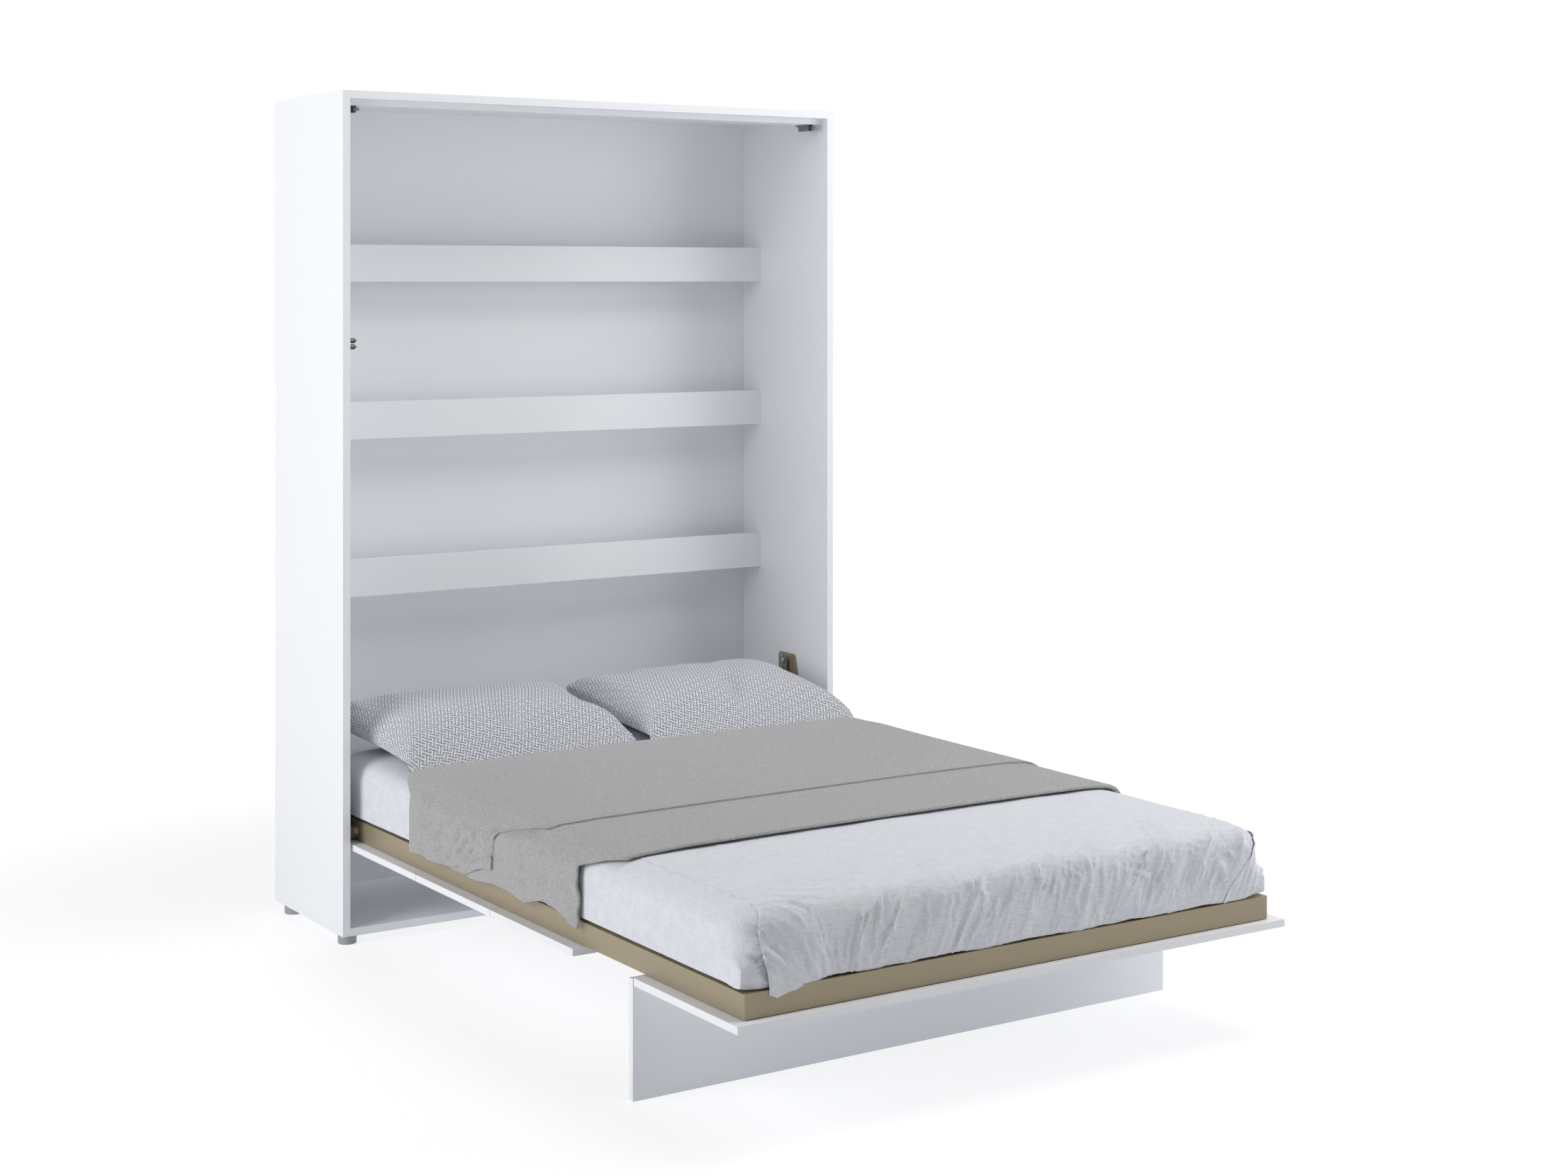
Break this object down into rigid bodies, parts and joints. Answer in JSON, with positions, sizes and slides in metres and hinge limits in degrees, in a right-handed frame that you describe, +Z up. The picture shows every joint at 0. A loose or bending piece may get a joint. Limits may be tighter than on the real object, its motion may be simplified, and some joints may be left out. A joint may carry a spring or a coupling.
{
  "type": "wall bed",
  "caption": "Wall bed: a tall white cabinet with a double bed folding down from it, slatted steel frame, front boards, fold-out leg, gas springs, mattress, blanket and pillows.",
  "frame": {"origin": "on the floor under the middle of the open bed's outline", "axes": "+Y from the foot of the bed towards the wall, +X to the right when facing the cabinet, +Z up"},
  "size_m": [1.508, 2.285, 2.174],
  "materials": {
    "white_board": "smooth white melamine face",
    "champagne_steel": "satin champagne coat",
    "zinc_steel": "zinc plated",
    "chrome": "polished",
    "dark_steel": "semi-gloss coat",
    "grey_plastic": "moulded",
    "dark_plastic": "moulded",
    "black_plastic": "moulded",
    "white_plastic": "moulded",
    "birch": "plain laminated wood",
    "linen": "fine weave sheet",
    "wool": "felted weave",
    "cotton_print": "cotton with a printed fret pattern"
  },
  "bodies": {
    "cabinet": {"side_panel_left": "white_board", "side_panel_right": "white_board", "top_panel": "white_board", "bottom_panel": "white_board", "back_panel": "white_board", "top_rail": "white_board", "back_rail_1": "white_board", "back_rail_2": "white_board", "back_rail_3": "white_board", "back_rail_4": "white_board", "dowels": "birch", "rail_caps": "white_plastic", "wall_brackets": "zinc_steel", "cabinet_feet": "grey_plastic", "damper_housings": "dark_plastic", "stop_pins": "zinc_steel", "side_plate_left": "champagne_steel", "side_plate_right": "champagne_steel", "wood_screws": "zinc_steel", "spring_pins_upper": "chrome", "pivot_bolts": "chrome", "pivot_nuts": "zinc_steel"},
    "bed": {"side_rail_left": "champagne_steel", "side_rail_right": "champagne_steel", "foot_rail": "champagne_steel", "head_rail": "champagne_steel", "corner_cap_left": "champagne_steel", "corner_cap_right": "champagne_steel", "rail_end_plugs": "black_plastic", "centre_beam": "champagne_steel", "cross_bars": "champagne_steel", "mattress_hoop": "champagne_steel", "slats_left": "birch", "slats_right": "birch", "side_slat_holders": "black_plastic", "centre_slat_holders": "black_plastic", "pivot_bushes": "black_plastic", "spring_studs_lower": "zinc_steel", "front_board_1": "white_board", "front_board_2": "white_board", "front_board_3": "white_board", "front_board_4": "white_board", "board_washers": "black_plastic", "board_screws": "zinc_steel", "leg_hinge_tabs": "zinc_steel", "mattress": "linen", "blanket": "wool", "pillow_left": "cotton_print", "pillow_right": "cotton_print"},
    "leg": {"leg_panel": "white_board", "leg_hinge_leaves": "zinc_steel", "leg_hinge_pins": "chrome"},
    "spring_cylinder_left": {"gas_cylinder_left": "dark_steel"},
    "spring_cylinder_right": {"gas_cylinder_right": "dark_steel"},
    "spring_rod_left": {"gas_rod_left": "chrome"},
    "spring_rod_right": {"gas_rod_right": "chrome"},
    "damper_left": {"damper_plunger_left": "grey_plastic"},
    "damper_right": {"damper_plunger_right": "grey_plastic"}
  },
  "joints": [
    {"name": "bed_fold", "type": "hinge", "parent": "cabinet", "child": "bed", "pos_m": [0, 0.7275, 0.281], "axis": [-1, 0, 0], "range_deg": [0, 90]},
    {"name": "leg_fold", "type": "hinge", "parent": "bed", "child": "leg", "pos_m": [0, -0.7315, 0.248], "axis": [1, 0, 0], "range_deg": [0, 90.5]},
    {"name": "spring_swing_left", "type": "hinge", "parent": "cabinet", "child": "spring_cylinder_left", "pos_m": [-0.72, 0.8865, 0.579], "axis": [-1, 0, 0], "range_deg": [0, 19.4]},
    {"name": "spring_swing_right", "type": "hinge", "parent": "cabinet", "child": "spring_cylinder_right", "pos_m": [0.72, 0.8865, 0.579], "axis": [-1, 0, 0], "range_deg": [0, 19.4]},
    {"name": "spring_stroke_left", "type": "slide", "parent": "spring_cylinder_left", "child": "spring_rod_left", "axis": [0, 0, -1], "range_m": [0, 0.187]},
    {"name": "spring_stroke_right", "type": "slide", "parent": "spring_cylinder_right", "child": "spring_rod_right", "axis": [0, 0, -1], "range_m": [0, 0.187]},
    {"name": "damper_push_left", "type": "slide", "parent": "cabinet", "child": "damper_left", "axis": [0, 1, 0], "range_m": [0, 0.008], "stiffness_N_per_m": 200},
    {"name": "damper_push_right", "type": "slide", "parent": "cabinet", "child": "damper_right", "axis": [0, 1, 0], "range_m": [0, 0.008], "stiffness_N_per_m": 200}
  ],
  "couplings": [
    {"joint": "leg_fold", "follows": "bed_fold", "ratio": 1},
    {"joint": "spring_swing_left", "follows": "bed_fold", "ratio": 0.21319},
    {"joint": "spring_swing_right", "follows": "bed_fold", "ratio": 0.21319},
    {"joint": "spring_stroke_left", "follows": "bed_fold", "m_per_rad": 0.11833},
    {"joint": "spring_stroke_right", "follows": "bed_fold", "m_per_rad": 0.11833}
  ]
}
